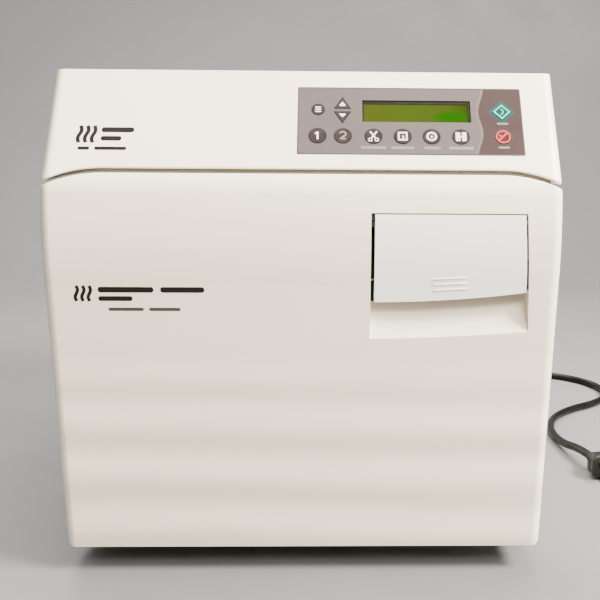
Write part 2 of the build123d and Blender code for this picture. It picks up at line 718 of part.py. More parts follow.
def cord_tie():
    """Strap over the coil, on the side away from the leads."""
    strap_x = (COIL_C[0] + COIL_R[0] - 1.3, COIL_C[0] + COIL_R[1] + 1.3)
    strap = box(strap_x, (COIL_C[1] - 6, COIL_C[1] + 6), (0, COIL_TOP + 1.2))
    return strap - cord_coil()


def mains_plug():
    """Moulded three-pin plug lying on its side."""
    body = PLUG * (Pos(0, 0, 22) * Cylinder(14, 20))
    neck = PLUG * (Pos(0, 0, 6) * Cone(7, 12, 12))
    plug = body + neck
    for x, y in ((-6.3, 3.5), (6.3, 3.5)):
        plug = plug + PLUG * (Pos(x, y, 40) * Box(1.6, 6.3, 17))
    return plug + PLUG * (Pos(0, -7.5, 41) * Cylinder(2.4, 19))


def strain_relief():
    """Tapered sleeve where the cord leaves the rear panel."""
    x, y, z = CORD_EXIT
    cone = Pos(x, (251.5 + y) / 2, z) * Rot(-90, 0, 0) * Cone(9.0, 5.6, y - 251.5)
    return cone + rod_y(x, z, 6.9, 247, 251.5)


def build_all():
    os.makedirs("parts", exist_ok=True)
    save(door_cover(), "door_cover")
    save(handle_flap(), "handle_flap")
    save(handle_rod(), "handle_rod")
    save(latch_bar(), "latch_bar")
    save(door_arm(), "door_arm")
    save(pressure_plate(), "pressure_plate")
    save(ring_y(CHAMBER_X, CHAMBER_Z, 126, 114, -193.5, MOUTH_Y - GASKET_GAP), "door_gasket")
    save(door_inner_panel(), "door_inner_panel")
    save(door_screws(), "door_screws")

    save(front_frame(), "front_frame")
    save(wrap_cover(), "wrap_cover")
    save(rear_panel(), "rear_panel")
    save(base_pan(), "base_pan")
    save(console_shell(), "console_shell")
    save(fill_lid(), "fill_lid")
    for (x, y), side in zip(FRONT_FEET, ("left", "right")):
        save(front_foot(x, y), f"front_foot_{side}")
    save(rear_feet(), "rear_feet")
    save(screw_group(0), "panel_screws")

    hinge = box((HINGE_X - 4, HINGE_X + 14), (FRAME_Y - 3, FRAME_Y), (HINGE_Z0, HINGE_Z1))
    for z in (HINGE_Z0, HINGE_Z1 - LUG_H):
        lug = box((HINGE_X - 3, HINGE_X + 4), (HINGE_Y, FRAME_Y - 3), (z, z + LUG_H))
        hinge = hinge + lug + rod_z(HINGE_X, HINGE_Y, 5.6, z, z + LUG_H)
    save(hinge - rod_z(HINGE_X, HINGE_Y, HINGE_PIN_R, 100, 260), "hinge_bracket")
    save(rod_z(HINGE_X, HINGE_Y, HINGE_PIN_R, HINGE_Z0 - 1.5, HINGE_Z1 + 1.5), "hinge_pin")
    keepers = []
    for z in HOOK_Z:
        post = box((183.0, 187.0), (-206, FRAME_Y), (z - 24, z + 10))
        keepers.append(post)
    save(Compound(children=keepers), "latch_keepers")
    switch = box((150, 170), (FRAME_Y + 3, FRAME_Y + 25), (48, 72))
    save(switch - rod_y(160, 60, 3.1, -185, -168), "door_switch")
    save(rod_y(160, 60, 3.0, DOOR_BACK_Y - 1.7, -172), "door_switch_plunger")

    save(keypad_overlay(), "keypad_overlay")
    for name, key in key_shapes(0, -2.4, FACE_OUT + KEY_PROUD).items():
        save(key, name)
    save(key_switches(), "key_switches")
    board = on_face((OVERLAY_X[0] + 6, OVERLAY_X[1] - 6), (20, 70), -7.6, -6.0)
    save(board, "control_board")
    display_x = (WINDOW_X[0] - 2, WINDOW_X[1] + 2)
    display_s = (WINDOW_S[0] - 2, WINDOW_S[1] + 2)
    save(on_face(display_x, display_s, -6.0, -1.2), "lcd_module")

    save(chamber_vessel(), "chamber_vessel")
    save(ring_y(CHAMBER_X, CHAMBER_Z, 120.5, 117.5, -60, 100), "band_heater")
    save(chamber_insulation(), "chamber_insulation")
    save(chamber_cradle(), "chamber_cradle")
    save(tray_rack(), "tray_rack")
    for name, z in TRAY_LEVELS.items():
        save(tray(z), name)
    save(steam_tubes(), "steam_tubes")
    save(solenoid_valves(), "solenoid_valves")
    save(reservoir(), "water_reservoir")
    save(condensing_coil(), "condensing_coil")
    save(relief_valve(), "relief_valve")
    save(relief_ring(), "relief_ring")

    power = box((150, 152), (-110, 60), (60, 240))
    power = power + box((124, 150), (-90, -20), (70, 130)) + box((130, 150), (0, 40), (150, 210))
    save(power, "power_board")
    breaker = box((BREAKER_X - 12, BREAKER_X + 12), (222, 250), (BREAKER_Z - 16, BREAKER_Z + 16))
    save(breaker - rod_y(BREAKER_X, BREAKER_Z, 5.1, 236, 251), "circuit_breaker")
    save(rod_y(BREAKER_X, BREAKER_Z, 5.0, 240, 257), "breaker_button")

    save(strain_relief(), "strain_relief")
    leads = [cord_run("lead in", LEAD_IN), cord_run("lead out", LEAD_OUT)]
    save(Compound(children=leads), "mains_cord")
    save(cord_coil(), "cord_coil")
    save(cord_tie(), "cord_tie")
    save(mains_plug(), "mains_plug")


build_all()
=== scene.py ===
import json
import math

import bmesh
import bpy
from mathutils import Matrix, Vector


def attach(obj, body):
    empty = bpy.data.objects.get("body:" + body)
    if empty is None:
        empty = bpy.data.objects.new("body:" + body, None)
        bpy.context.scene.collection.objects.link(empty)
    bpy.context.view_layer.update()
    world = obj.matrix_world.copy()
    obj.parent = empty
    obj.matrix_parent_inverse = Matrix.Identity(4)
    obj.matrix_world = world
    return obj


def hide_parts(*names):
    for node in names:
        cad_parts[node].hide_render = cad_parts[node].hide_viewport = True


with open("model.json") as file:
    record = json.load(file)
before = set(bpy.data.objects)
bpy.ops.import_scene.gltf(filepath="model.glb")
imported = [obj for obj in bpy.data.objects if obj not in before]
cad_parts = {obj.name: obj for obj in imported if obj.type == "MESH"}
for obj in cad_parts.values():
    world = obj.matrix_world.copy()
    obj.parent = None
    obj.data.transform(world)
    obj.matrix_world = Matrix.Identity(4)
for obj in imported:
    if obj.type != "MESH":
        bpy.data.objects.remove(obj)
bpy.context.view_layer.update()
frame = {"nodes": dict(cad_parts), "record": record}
nodes = frame["nodes"]
MM = 0.001


# ---------------------------------------------------------------- camera
CAMERA_AT = (0.0197, -0.9295, 0.3479)
YAW, PITCH, ROLL = 1.429, 9.812, 0.443


def place_camera():
    """Camera in front of the door, a little above it and looking slightly down."""
    yaw, pitch, roll = math.radians(YAW), math.radians(PITCH), math.radians(ROLL)
    forward = Vector((
        math.sin(yaw) * math.cos(pitch), math.cos(yaw) * math.cos(pitch), -math.sin(pitch)
    ))
    right = forward.cross(Vector((0, 0, 1))).normalized()
    up = right.cross(forward)
    turn = Matrix.Rotation(roll, 3, forward)
    right, up = turn.inverted() @ right, turn.inverted() @ up
    data = bpy.data.cameras.new("camera")
    data.lens = 54.0
    data.sensor_width = 36.0
    data.shift_x = -0.0858
    cam = bpy.data.objects.new("camera", data)
    axes = Matrix((right, up, -forward)).transposed()
    cam.matrix_world = Matrix.Translation(CAMERA_AT) @ axes.to_4x4()
    bpy.context.scene.collection.objects.link(cam)
    bpy.context.scene.camera = cam


place_camera()


# ---------------------------------------------------------------- materials
PLASTIC_IOR = 1.5


class Surface:
    """A principled material whose colour, roughness and relief come from procedural noise."""

    def __init__(self, name, metallic=0.0, specular=0.5, coat=0.0, coat_rough=0.1):
        self.mat = bpy.data.materials.new(name)
        self.mat.use_nodes = True
        self.tree = self.mat.node_tree
        self.bsdf = self.tree.nodes["Principled BSDF"]
        self.bsdf.inputs["Metallic"].default_value = metallic
        self.bsdf.inputs["Specular IOR Level"].default_value = specular
        self.bsdf.inputs["Coat Weight"].default_value = coat
        self.bsdf.inputs["Coat Roughness"].default_value = coat_rough
        self.bsdf.inputs["IOR"].default_value = PLASTIC_IOR
        self.coords = self.tree.nodes.new("ShaderNodeTexCoord").outputs["Object"]
        self.normal = None

    def link(self, a, b):
        self.tree.links.new(a, b)

    def node(self, kind, **settings):
        made = self.tree.nodes.new(kind)
        for key, value in settings.items():
            setattr(made, key, value)
        return made

    def stretched(self, scale):
        mapping = self.node("ShaderNodeMapping")
        mapping.inputs["Scale"].default_value = scale
        self.link(self.coords, mapping.inputs["Vector"])
        return mapping.outputs["Vector"]

    def noise(self, scale, detail=3.0, stretch=None):
        made = self.node("ShaderNodeTexNoise")
        made.inputs["Scale"].default_value = scale
        made.inputs["Detail"].default_value = detail
        self.link(self.stretched(stretch) if stretch else self.coords, made.inputs["Vector"])
        return made.outputs["Fac"]

    def cells(self, scale, feature="F1", stretch=None):
        made = self.node("ShaderNodeTexVoronoi", feature=feature)
        made.inputs["Scale"].default_value = scale
        self.link(self.stretched(stretch) if stretch else self.coords, made.inputs["Vector"])
        return made.outputs["Distance"]

    def axis(self, letter):
        made = self.node("ShaderNodeSeparateXYZ")
        self.link(self.coords, made.inputs["Vector"])
        return made.outputs[letter]

    def ramp(self, factor, stops):
        made = self.node("ShaderNodeValToRGB")
        elements = made.color_ramp.elements
        while len(elements) < len(stops):
            elements.new(0.5)
        for element, (place, colour) in zip(elements, stops):
            element.position = place
            element.color = (*colour, 1.0)
        self.link(factor, made.inputs["Fac"])
        return made.outputs["Color"]

    def span(self, value, a, b, to_a=0.0, to_b=1.0, smooth=True):
        made = self.node("ShaderNodeMapRange")
        made.interpolation_type = "SMOOTHSTEP" if smooth else "LINEAR"
        for key, number in (("From Min", a), ("From Max", b), ("To Min", to_a), ("To Max", to_b)):
            made.inputs[key].default_value = number
        self.link(value, made.inputs["Value"])
        return made.outputs["Result"]

    def math(self, operation, a, b=None):
        made = self.node("ShaderNodeMath", operation=operation)
        for socket, value in zip(made.inputs, (a, b)):
            if value is None:
                continue
            if isinstance(value, (int, float)):
                socket.default_value = value
            else:
                self.link(value, socket)
        return made.outputs["Value"]

    def mix(self, factor, a, b):
        made = self.node("ShaderNodeMix", data_type="RGBA")
        if isinstance(factor, (int, float)):
            made.inputs["Factor"].default_value = factor
        else:
            self.link(factor, made.inputs["Factor"])
        for socket, value in ((made.inputs["A"], a), (made.inputs["B"], b)):
            if isinstance(value, tuple):
                socket.default_value = (*value, 1.0)
            else:
                self.link(value, socket)
        return made.outputs["Result"]

    def colour(self, source):
        self.link(source, self.bsdf.inputs["Base Color"])

    def mottle(self, base, amount=0.05, scale=8.0, detail=4.0, stretch=None):
        darker = tuple(c * (1 - amount) for c in base)
        lighter = tuple(min(1.0, c * (1 + amount)) for c in base)
        return self.ramp(self.noise(scale, detail, stretch), [(0.3, darker), (0.7, lighter)])

    def rough(self, low, high, scale=60.0, stretch=None, detail=3.0):
        source = self.span(self.noise(scale, detail, stretch), 0.3, 0.7, low, high)
        self.link(source, self.bsdf.inputs["Roughness"])

    def relief(self, height, depth, strength=1.0):
        made = self.node("ShaderNodeBump")
        made.inputs["Strength"].default_value = strength
        made.inputs["Distance"].default_value = depth
        self.link(height, made.inputs["Height"])
        if self.normal is not None:
            self.link(self.normal, made.inputs["Normal"])
        self.normal = made.outputs["Normal"]
        self.link(self.normal, self.bsdf.inputs["Normal"])


WAVE_LENGTH = 0.043
WAVE_HEIGHT = 0.0007
WAVE_FADE_Z = (0.21, 0.12)


def moulding(name, base, waves):
    """Satin moulded plastic with a fine texture and, low down, soft level bands."""
    s = Surface(name, specular=0.5, coat=0.12, coat_rough=0.22)
    s.colour(s.mottle(base, 0.012, 7.0))
    s.rough(0.36, 0.46, 30.0)
    if waves:
        drift = s.math("MULTIPLY", s.noise(1.0, 1.0, (2.0, 3.0, 9.0)), 5.0)
        phase = s.math("ADD", s.math("MULTIPLY", s.axis("Z"), 2 * math.pi / WAVE_LENGTH), drift)
        low_down = s.span(s.axis("Z"), *WAVE_FADE_Z, 0.0, WAVE_HEIGHT)
        s.relief(s.math("MULTIPLY", s.math("SINE", phase), low_down), 1.0)
    s.relief(s.noise(1500.0, 2.0), 0.00003, 0.5)
    return s.mat


def painted_sheet(name, base):
    """Powder coat with orange peel."""
    s = Surface(name, specular=0.45)
    s.colour(s.mottle(base, 0.025, 5.0))
    s.rough(0.42, 0.55, 40.0)
    s.relief(s.noise(420.0, 2.0), 0.00012, 0.5)
    s.relief(s.noise(3.0, 1.0), 0.0006, 0.4)
    return s.mat


def zinc(name):
    s = Surface(name, metallic=1.0)
    spangle = s.cells(90.0)
    s.colour(s.mix(s.span(spangle, 0.2, 0.7), (0.62, 0.63, 0.64), (0.76, 0.77, 0.78)))
    s.rough(0.3, 0.48, 140.0)
    s.relief(s.noise(500.0, 3.0), 0.00005, 0.5)
    return s.mat


def steel(name, base, stretch):
    """Brushed steel, its scratches drawn along one axis."""
    s = Surface(name, metallic=1.0)
    s.colour(s.mottle(base, 0.06, 1.0, 5.0, stretch))
    s.rough(0.2, 0.36, 1.0, stretch, 5.0)
    s.relief(s.noise(1.0, 4.0, stretch), 0.00002, 0.4)
    return s.mat


def polished(name):
    s = Surface(name, metallic=1.0)
    s.colour(s.mottle((0.78, 0.78, 0.79), 0.04, 200.0))
    s.rough(0.12, 0.24, 300.0)
    s.relief(s.noise(900.0, 2.0), 0.00002, 0.3)
    return s.mat


def rubber(name, base, low=0.55, high=0.72):
    s = Surface(name, specular=0.35)
    s.colour(s.mottle(base, 0.14, 60.0))
    s.rough(low, high, 90.0)
    s.relief(s.noise(900.0, 2.0), 0.00006, 0.5)
    return s.mat


CASE_TOP = 0.404
DOWN_PER_HEIGHT = 1.1908
WAVY_X, WAVY_LEAN, WAVY_MIDDLE = 0.1358, -0.05, 0.036
WAVY_CREST, WAVY_RATE, WAVY_SIZE = 0.0157, 153.2, 0.0019


def overlay_film():
    """Matt polycarbonate film, taupe grey, with a darker panel beyond a wavy line at the right."""
    s = Surface("overlay_film", specular=0.08)
    x, z = s.axis("X"), s.axis("Z")
    down = s.math("MULTIPLY", s.math("SUBTRACT", CASE_TOP, z), DOWN_PER_HEIGHT)
    phase = s.math("MULTIPLY", s.math("SUBTRACT", down, WAVY_CREST), WAVY_RATE)
    wave = s.math("MULTIPLY", s.math("COSINE", phase), WAVY_SIZE)
    lean = s.math("MULTIPLY", s.math("SUBTRACT", down, WAVY_MIDDLE), WAVY_LEAN)
    edge = s.math("ADD", s.math("ADD", wave, lean), WAVY_X)
    past = s.math("SUBTRACT", x, edge)
    zone = s.span(past, -0.0003, 0.0003)
    rim = s.math("MULTIPLY", s.span(past, -0.0022, -0.0012), s.span(past, -0.0004, -0.0012))
    light = s.mottle((0.092, 0.076, 0.074), 0.035, 14.0)
    dark = s.mottle((0.042, 0.025, 0.025), 0.06, 14.0)
    both = s.mix(zone, light, dark)
    s.colour(s.mix(s.math("MULTIPLY", rim, 0.25), both, (0.24, 0.22, 0.20)))
    s.rough(0.42, 0.55, 50.0)
    s.relief(s.noise(2600.0, 2.0), 0.00002, 0.5)
    return s.mat


def film_key(name, base):
    s = Surface(name, specular=0.15)
    s.colour(s.mottle(base, 0.12, 220.0))
    s.rough(0.35, 0.5, 160.0)
    s.relief(s.noise(2400.0, 2.0), 0.00002, 0.5)
    return s.mat


def printed(name, base, amount=0.05):
    """Screen-printed ink: nearly even, with the screen's fine tooth."""
    s = Surface(name, specular=0.15)
    s.colour(s.mottle(base, amount, 260.0))
    s.rough(0.38, 0.52, 300.0)
    s.relief(s.noise(3200.0, 1.0), 0.00001, 0.4)
    return s.mat


def circuit_board():
    s = Surface("circuit_board", specular=0.5)
    tracks = s.cells(160.0, "DISTANCE_TO_EDGE", (1.0, 1.0, 0.35))
    line = s.span(tracks, 0.02, 0.06)
    s.colour(s.mix(line, (0.06, 0.30, 0.15), (0.015, 0.15, 0.07)))
    s.rough(0.25, 0.4, 120.0)
    s.relief(line, 0.00008, 0.6)
    return s.mat


def lagging():
    s = Surface("lagging", specular=0.2)
    s.colour(s.mottle((0.70, 0.66, 0.56), 0.16, 70.0, 6.0))
    s.rough(0.8, 0.95, 60.0)
    weave = s.node("ShaderNodeTexWave", wave_type="BANDS", bands_direction="Y")
    weave.inputs["Scale"].default_value = 120.0
    weave.inputs["Distortion"].default_value = 2.0
    s.link(s.coords, weave.inputs["Vector"])
    s.relief(weave.outputs["Fac"], 0.0006, 0.6)
    s.relief(s.noise(90.0, 5.0), 0.0016, 0.6)
    return s.mat


def tank_plastic():
    s = Surface("tank_plastic", specular=0.4)
    s.bsdf.inputs["Subsurface Weight"].default_value = 0.25
    s.bsdf.inputs["Subsurface Radius"].default_value = (0.01, 0.01, 0.009)
    s.colour(s.mottle((0.80, 0.82, 0.80), 0.05, 12.0))
    s.rough(0.4, 0.55, 50.0)
    s.relief(s.noise(300.0, 2.0), 0.0001, 0.4)
    return s.mat


def brass():
    s = Surface("brass_fittings", metallic=1.0)
    s.colour(s.mix(s.noise(30.0, 4.0), (0.60, 0.38, 0.17), (0.80, 0.60, 0.30)))
    s.rough(0.22, 0.42, 90.0)
    s.relief(s.noise(1.0, 3.0, (1500.0, 90.0, 1500.0)), 0.00002, 0.4)
    return s.mat


def cord_jacket():
    s = Surface("cord_jacket", specular=0.16)
    s.colour(s.mottle((0.004, 0.004, 0.0045), 0.2, 120.0))
    s.rough(0.24, 0.38, 70.0)
    s.relief(s.noise(700.0, 2.0), 0.00005, 0.5)
    return s.mat


BRUSHED = (6.0, 900.0, 900.0)
slot_materials = {
    "cream_moulding": moulding("cream_moulding", (0.92, 0.81, 0.66), True),
    "white_moulding": moulding("white_moulding", (0.95, 0.925, 0.87), False),
    "enamelled_sheet": painted_sheet("enamelled_sheet", (0.85, 0.765, 0.64)),
    "frame_paint": painted_sheet("frame_paint", (0.23, 0.225, 0.19)),
    "zinc_steel": zinc("zinc_steel"),
    "bright_steel": polished("bright_steel"),
    # this black finish is painted shade on the handle rod: it keeps the rod, where it shows in the
    # gap beside the flap, as dark as the gap's shade
    "blackened_steel": rubber("blackened_steel", (0.02, 0.02, 0.02), 0.3, 0.45),
    "stainless": steel("stainless", (0.70, 0.70, 0.69), BRUSHED),
    "silicone": rubber("silicone", (0.62, 0.58, 0.50), 0.5, 0.65),
    "black_rubber": rubber("black_rubber", (0.02, 0.02, 0.02)),
    "overlay_film": overlay_film(),
    "key_dark": film_key("key_dark", (0.024, 0.016, 0.016)),
    "key_green": film_key("key_green", (0.003, 0.030, 0.024)),
    "key_red": film_key("key_red", (0.060, 0.008, 0.010)),
    "display": film_key("display", (0.05, 0.06, 0.02)),
    "circuit_board": circuit_board(),
    "lagging": lagging(),
    "tank_plastic": tank_plastic(),
    "brass_fittings": brass(),
    "black_moulding": rubber("black_moulding", (0.005, 0.005, 0.0055), 0.34, 0.48),
    "cord_jacket": cord_jacket(),
}
for part in frame["record"]["subparts"]:
    cad = nodes[part["node"]]
    cad.data.materials.clear()
    cad.data.materials.append(slot_materials[part["material_slot"]])


# ---------------------------------------------------------------- mesh helpers
def add_mesh(name, verts, faces, material, body, smooth=False):
    mesh = bpy.data.meshes.new(name)
    mesh.from_pydata(verts, [], faces)
    mesh.validate()
    mesh.materials.append(material)
    if smooth:
        mesh.shade_smooth()
    piece = bpy.data.objects.new(name, mesh)
    bpy.context.scene.collection.objects.link(piece)
    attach(piece, body)
    return piece


def add_bevel(piece, width, segments=3, angle=40.0):
    bevel = piece.modifiers.new("bevel", "BEVEL")
    bevel.width = width
    bevel.segments = segments
    bevel.limit_method = "ANGLE"
    bevel.angle_limit = math.radians(angle)
    bevel.harden_normals = True
    piece.data.shade_smooth()


class Face:
    """A flat face of the object: (x, s, w) is across, down the slope, and out of it, in mm."""

    def __init__(self, origin, down, out):
        self.origin, self.down, self.out = Vector(origin), Vector(down), Vector(out)

    def at(self, x, s, w):
        return (self.origin + Vector((x, 0, 0)) + self.down * s + self.out * w) * MM


# side profile of the front, in mm: how far it is set back from FRONT_Y at four heights.
# Between BELLY and EAVE it is an arc that meets FRONT_Y at CREST_Z.
FRONT_Y = -264.0
FOOT_Z, FOOT_SET = 22.0, 30.1
BELLY_Z, BELLY_SET = 243.0, 2.7
CREST_Z = 281.0
EAVE_Z, EAVE_SET = 318.0, 4.4
TOP_Z, TOP_SET = 404.0, 60.0
CONSOLE_RUN = (TOP_SET - EAVE_SET) / (TOP_Z - EAVE_Z)
DOOR_RUN = (FOOT_SET - BELLY_SET) / (BELLY_Z - FOOT_Z)

SLOPE = math.atan(CONSOLE_RUN)
CONSOLE = Face(
    (0, FRONT_Y + TOP_SET, TOP_Z),
    (0, -math.sin(SLOPE), -math.cos(SLOPE)),
    (0, -math.cos(SLOPE), math.sin(SLOPE)),
)
LEAN = math.atan(DOOR_RUN)
DOOR = Face(
    (0, FRONT_Y + BELLY_SET, BELLY_Z),
    (0, math.sin(LEAN), -math.cos(LEAN)),
    (0, -math.cos(LEAN), -math.sin(LEAN)),
)


class Print:
    """Closed outlines on a face, each raised from w0 to w1, gathered in one mesh."""

    def __init__(self, face, w0, w1):
        self.face, self.w0, self.w1 = face, w0, w1
        self.verts, self.faces = [], []

    def outline(self, points):
        n, base = len(points), len(self.verts)
        for w in (self.w0, self.w1):
            self.verts += [self.face.at(x, s, w) for x, s in points]
        self.faces.append([base + n + i for i in range(n)])
        self.faces.append([base + n - 1 - i for i in range(n)])
        for i in range(n):
            j = (i + 1) % n
            self.faces.append([base + i, base + j, base + n + j, base + n + i])

    def band(self, outer, inner):
        n, base = len(outer), len(self.verts)
        for points in (outer, inner):
            for w in (self.w0, self.w1):
                self.verts += [self.face.at(x, s, w) for x, s in points]
        for i in range(n):
            j = (i + 1) % n
            a, b, c, d = base, base + n, base + 2 * n, base + 3 * n
            self.faces.append([b + i, b + j, d + j, d + i])
            self.faces.append([a + i, c + i, c + j, a + j])
            self.faces.append([a + i, a + j, b + j, b + i])
            self.faces.append([c + i, d + i, d + j, c + j])

    def rect(self, x0, x1, s0, s1, r=0.0):
        self.outline(rounded(x0, x1, s0, s1, r))

    def disc(self, x, s, r):
        self.outline(circle(x, s, r))

    def ring(self, x, s, r, r_in):
        self.band(circle(x, s, r), circle(x, s, r_in))

    def stroke(self, points, width):
        """An open line of even width."""
        left, right = [], []
        for i, (x, s) in enumerate(points):
            ax, as_ = points[max(i - 1, 0)]
            bx, bs = points[min(i + 1, len(points) - 1)]
            length = math.hypot(bx - ax, bs - as_)
            nx, ns = -(bs - as_) / length * width / 2, (bx - ax) / length * width / 2
            left.append((x + nx, s + ns))
            right.append((x - nx, s - ns))
        base, n = len(self.verts), len(points)
        for side in (left, right):
            for w in (self.w0, self.w1):
                self.verts += [self.face.at(x, s, w) for x, s in side]
        a, b, c, d = base, base + n, base + 2 * n, base + 3 * n
        for i in range(n - 1):
            j = i + 1
            self.faces.append([b + i, b + j, d + j, d + i])
            self.faces.append([a + i, c + i, c + j, a + j])
            self.faces.append([a + i, a + j, b + j, b + i])
            self.faces.append([c + i, d + i, d + j, c + j])
        self.faces.append([a, b, d, c])
        self.faces.append([a + n - 1, c + n - 1, d + n - 1, b + n - 1])

    def make(self, name, material, body, slot):
        piece = add_mesh(name, self.verts, self.faces, material, body)
        mesh = bmesh.new()
        mesh.from_mesh(piece.data)
        bmesh.ops.recalc_face_normals(mesh, faces=mesh.faces)
        mesh.to_mesh(piece.data)
        mesh.free()
        return piece


CIRCLE_STEPS = 40
CORNER_STEPS = 6


def circle(x, s, r):
    turn = [2 * math.pi * i / CIRCLE_STEPS for i in range(CIRCLE_STEPS)]
    return [(x + r * math.cos(a), s + r * math.sin(a)) for a in turn]


def rounded(x0, x1, s0, s1, r):
    """Rectangle with round corners."""
    if r <= 0:
        return [(x0, s0), (x1, s0), (x1, s1), (x0, s1)]
    points = []
    right, left, top, low = x1 - r, x0 + r, s0 + r, s1 - r
    corners = ((right, top, -90), (right, low, 0), (left, low, 90), (left, top, 180))
    for cx, cs, start in corners:
        for i in range(CORNER_STEPS + 1):
            a = math.radians(start + 90 * i / CORNER_STEPS)
            points.append((cx + r * math.cos(a), cs + r * math.sin(a)))
    return points


def diamond(x, s, a):
    return [(x - a, s), (x, s - a), (x + a, s), (x, s + a)]


# ---------------------------------------------------------------- mains cord
LEAD_IN = [
    (60, 284, 50), (60, 310, 49), (57, 334, 37), (48, 354, 20), (48, 378, 8),
]
LEAD_OUT = [
    (128, 422.5, 13.5), (178, 425, 6.5), (236, 420, 4.5), (296, 408, 4.5), (350, 396, 4.5),
    (392, 366, 4.5), (412, 322, 4.5), (408, 276, 4.5), (378, 240, 4.5), (336, 212, 4.5),
    (304, 172, 4.5), (290, 122, 4.5), (292, 72, 6), (301, 30, 14), (306, 2, 14),
]
COIL_C = (115, 362)
CORD_D = 9.0


def eased(t, a, b):
    u = min(max((t - a) / (b - a), 0.0), 1.0)
    return u * u * (3 - 2 * u)


def coil_points():
    """About five turns: inwards on the bench, then back outwards on top of them."""
    points = []
    for i in range(2, 74):
        t = i / 14
        inwards = eased(t, 0.78, 1.0) + eased(t, 1.78, 2.0)
        outwards = eased(t, 3.36, 3.58) + eased(t, 4.36, 4.58)
        r = 59.2 + 3.5 * (1 - eased(t, 0.1, 0.3)) - 9.1 * (inwards - outwards)
        z = 5.3 + 9.0 * eased(t, 2.42, 2.92)
        a = math.pi - 2 * math.pi * t
        points.append((COIL_C[0] + r * math.cos(a), COIL_C[1] + r * math.sin(a), z))
    return points


def make_cord():
    data = bpy.data.curves.new("mains_flex", "CURVE")
    data.dimensions = "3D"
    data.bevel_depth = CORD_D / 2 * MM
    data.bevel_resolution = 6
    data.resolution_u = 8
    data.use_fill_caps = True
    spline = data.splines.new("NURBS")
    route = [*LEAD_IN, *coil_points(), *LEAD_OUT]
    spline.points.add(len(route) - 1)
    for point, place in zip(spline.points, route):
        point.co = (*(Vector(place) * MM), 1.0)
    spline.order_u = 3
    spline.use_endpoint_u = True
    data.materials.append(slot_materials["cord_jacket"])
    flex = bpy.data.objects.new("mains_flex", data)
    bpy.context.scene.collection.objects.link(flex)
    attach(flex, "case")
    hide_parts("mains_cord", "cord_coil")
    return flex


def lofted(name, sections, material, body, n=28):
    """Skin over rings; a section is (centre, across, up, half width, half height, squareness)."""
    verts, faces = [], []
    for centre, across, up, rx, ry, square in sections:
        for i in range(n):
            a = 2 * math.pi * i / n
            c, s = math.cos(a), math.sin(a)
            px = math.copysign(abs(c) ** square, c) * rx
            py = math.copysign(abs(s) ** square, s) * ry
            verts.append((Vector(centre) + Vector(across) * px + Vector(up) * py) * MM)
    for k in range(len(sections) - 1):
        for i in range(n):
            j = (i + 1) % n
            faces.append([k * n + i, k * n + j, (k + 1) * n + j, (k + 1) * n + i])
    faces.append(list(range(n))[::-1])
    faces.append([(len(sections) - 1) * n + i for i in range(n)])
    return add_mesh(name, verts, faces, material, body, smooth=True)


PLUG_AT = Vector((306, 2, 14))
PLUG_ALONG = Vector((0.176, -0.984, 0)).normalized()
PLUG_ACROSS = Vector((0.984, 0.176, 0)).normalized()
UP = Vector((0, 0, 1))


def make_plug():
    """Moulded plug: ribbed neck, waisted grip, flat face with two blades and an earth pin."""
    profile = []
    for i in range(5):
        profile += [(i * 2.4, 6.2 + i * 0.5, 1.0), (i * 2.4 + 1.2, 6.3 + i * 0.5, 1.0)]
        profile += [(i * 2.4 + 1.3, 5.4 + i * 0.5, 1.0), (i * 2.4 + 2.3, 5.5 + i * 0.5, 1.0)]
    profile += [(12.2, 8.6, 0.9), (13.5, 11.0, 0.75), (16.0, 12.6, 0.62), (19.0, 12.2, 0.6)]
    profile += [(23.0, 11.8, 0.58), (27.0, 12.6, 0.56), (29.0, 13.8, 0.55), (31.4, 13.8, 0.55)]
    profile += [(32.0, 13.2, 0.55)]
    rings = []
    for t, r, square in profile:
        rings.append((PLUG_AT + PLUG_ALONG * t, PLUG_ACROSS, UP, r, min(r, 13.9) * 0.94, square))
    body = lofted("plug_body", rings, slot_materials["black_moulding"], "case")
    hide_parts("mains_plug")
    pieces = [body]
    metal = slot_materials["brass_fittings"]
    blade_profile = ((31.8, 0.75, 3.15), (46.0, 0.75, 3.15), (48.0, 0.45, 2.5), (48.4, 0.2, 2.2))
    for k, x in enumerate((-6.3, 6.3)):
        blade = []
        for t, rx, ry in blade_profile:
            centre = PLUG_AT + PLUG_ALONG * t + PLUG_ACROSS * x + UP * 3.5
            blade.append((centre, PLUG_ACROSS, UP, rx, ry, 0.2))
        pieces.append(lofted(f"plug_blade_{k}", blade, metal, "case", 16))
    pin = []
    for t, r in ((31.8, 2.35), (48.2, 2.35), (49.6, 1.9), (50.3, 0.8)):
        pin.append((PLUG_AT + PLUG_ALONG * t - UP * 7.5, PLUG_ACROSS, UP, r, r, 1.0))
    pieces.append(lofted("plug_pin", pin, metal, "case", 18))
    return pieces


def make_tie():
    """Hook-and-loop strap round the coil's turns."""
    section = rounded(-15.6, 15.4, 0.05, 19.4, 5.0)
    inner = rounded(-14.5, 14.3, 0.75, 18.4, 4.2)
    tie = Print(Face((165, 362, 0), (0, 0, 1), (0, 1, 0)), -6.0, 6.0)
    tie.band(section, inner)
    piece = tie.make("coil_tie", slot_materials["black_moulding"], "case", "black_moulding")
    add_bevel(piece, 0.0003, 2)
    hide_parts("cord_tie")
    return piece


